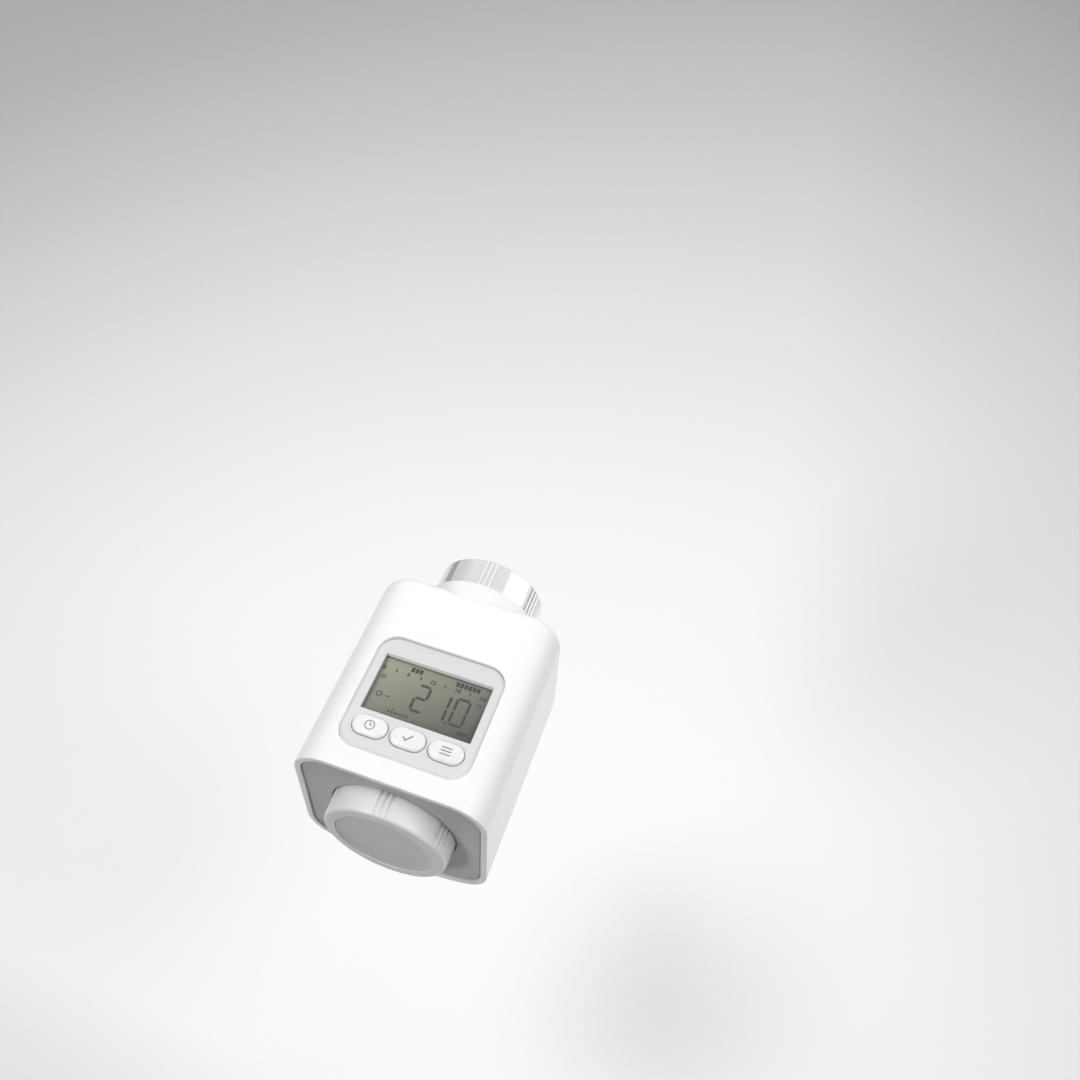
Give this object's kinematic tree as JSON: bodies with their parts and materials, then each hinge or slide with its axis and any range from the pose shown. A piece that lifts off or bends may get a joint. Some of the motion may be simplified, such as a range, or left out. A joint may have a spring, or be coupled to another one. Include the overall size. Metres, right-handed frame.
{
  "type": "motorised radiator valve head",
  "caption": "Battery-powered motorised radiator valve head: a display panel with keys on top, a setting wheel on the front end and a chrome union nut at the back.",
  "frame": {"origin": "centre of the mouth of the union nut, on the valve axis", "axes": "+Y along the valve axis, out of the nut towards the valve; +Z towards the display side; +X to the right when looking along +Y"},
  "size_m": [0.06, 0.0921, 0.0583],
  "materials": {
    "white_abs": "moulded ABS, satin to gloss, fine moulded grain",
    "key_white": "moulded ABS, glossy crown, pad-printed grey symbols",
    "plate_grey": "moulded ABS, satin light grey",
    "wheel_grey": "moulded ABS, satin light grey",
    "disc_grey": "painted plastic disc, satin mid grey",
    "fascia_grey": "moulded ABS, satin, slightly greyer than the housing",
    "window_clear": "clear acrylic",
    "lcd_glass": "grey-green reflective liquid-crystal cell",
    "frame_white": "moulded white ABS",
    "elastomer": "conductive elastomer strip",
    "switch_black": "moulded black nylon",
    "board_green": "FR4 with green solder mask",
    "chip_black": "epoxy moulding compound",
    "contact_metal": "nickel-plated spring steel",
    "pin_gold": "gold-flashed brass pins",
    "tray_grey": "moulded grey ABS",
    "cell_wrap": "shrink-wrapped steel can",
    "motor_steel": "zinc-plated drawn steel",
    "gear_acetal": "natural acetal",
    "pinion_brass": "turned brass",
    "steel_pin": "ground steel",
    "nylon_grey": "glass-filled nylon",
    "screw_steel": "zinc-plated steel",
    "nut_chrome": "nickel-chrome plated brass",
    "lead_red": "PVC-insulated lead"
  },
  "bodies": {
    "head": {"housing_shell": "white_abs", "end_plate": "plate_grey", "encoder_body": "switch_black", "encoder_board": "board_green", "encoder_pins": "pin_gold", "fascia_panel": "fascia_grey", "display_window": "window_clear", "lcd_cell": "lcd_glass", "lcd_frame": "frame_white", "contact_strips": "elastomer", "key_switches": "switch_black", "main_board": "board_green", "board_parts": "chip_black", "board_screws": "screw_steel", "battery_tray": "tray_grey", "cell_left": "cell_wrap", "cell_right": "cell_wrap", "battery_springs": "contact_metal", "battery_plates": "contact_metal", "motor_can": "motor_steel", "motor_leads": "lead_red", "gear_pins": "steel_pin", "gear_frame": "nylon_grey", "gear_screws": "screw_steel", "thrust_washer": "pinion_brass", "valve_adapter": "nylon_grey", "adapter_screws": "screw_steel", "nut_ring": "steel_pin"},
    "knob": {"adjusting_knob": "wheel_grey", "knob_disc": "disc_grey", "knob_clip": "steel_pin"},
    "clock_key": {"button_clock": "key_white"},
    "confirm_key": {"button_confirm": "key_white"},
    "menu_key": {"button_menu": "key_white"},
    "door": {"battery_door": "white_abs"},
    "nut": {"union_nut": "nut_chrome"},
    "spindle_drive": {"spindle_gear": "gear_acetal"},
    "second_stage": {"second_gear": "gear_acetal"},
    "first_stage": {"first_gear": "gear_acetal"},
    "motor_rotor": {"motor_shaft": "steel_pin", "motor_pinion": "pinion_brass"},
    "valve_pusher": {"plunger": "steel_pin", "pusher_cap": "nylon_grey"}
  },
  "joints": [
    {"name": "knob_turn", "type": "hinge", "parent": "head", "child": "knob", "pos_m": [0, -0.085, -0.0064], "axis": [0, 1, 0], "continuous": true},
    {"name": "clock_press", "type": "slide", "parent": "head", "child": "clock_key", "axis": [0, 0, -1], "range_m": [0, 0.0008], "stiffness_N_per_m": 1500},
    {"name": "confirm_press", "type": "slide", "parent": "head", "child": "confirm_key", "axis": [0, 0, -1], "range_m": [0, 0.0008], "stiffness_N_per_m": 1500},
    {"name": "menu_press", "type": "slide", "parent": "head", "child": "menu_key", "axis": [0, 0, -1], "range_m": [0, 0.0008], "stiffness_N_per_m": 1500},
    {"name": "door_slide", "type": "slide", "parent": "head", "child": "door", "axis": [0, 0, -1], "range_m": [0, 0.03]},
    {"name": "nut_turn", "type": "hinge", "parent": "head", "child": "nut", "pos_m": [0, -0.006, 0], "axis": [0, 1, 0], "continuous": true},
    {"name": "spindle_turn", "type": "hinge", "parent": "head", "child": "spindle_drive", "pos_m": [0, -0.0245, 0], "axis": [0, 1, 0], "range_deg": [0, 1080]},
    {"name": "second_turn", "type": "hinge", "parent": "head", "child": "second_stage", "pos_m": [-0.012, -0.028, 0], "axis": [0, 1, 0], "range_deg": [-3241, 1]},
    {"name": "first_turn", "type": "hinge", "parent": "head", "child": "first_stage", "pos_m": [-0.01942, -0.032, -0.00742], "axis": [0, 1, 0], "range_deg": [-1, 8101]},
    {"name": "motor_turn", "type": "hinge", "parent": "head", "child": "motor_rotor", "pos_m": [-0.00908, -0.038, -0.0056], "axis": [0, 1, 0], "range_deg": [-20251, 1]},
    {"name": "plunger_slide", "type": "slide", "parent": "head", "child": "valve_pusher", "axis": [0, 1, 0], "range_m": [0, 0.0045]}
  ],
  "couplings": [
    {"joint": "second_turn", "follows": "spindle_turn", "ratio": -3},
    {"joint": "first_turn", "follows": "spindle_turn", "ratio": 7.5},
    {"joint": "motor_turn", "follows": "spindle_turn", "ratio": -18.75},
    {"joint": "plunger_slide", "follows": "spindle_turn", "m_per_rad": 0.00023873}
  ]
}
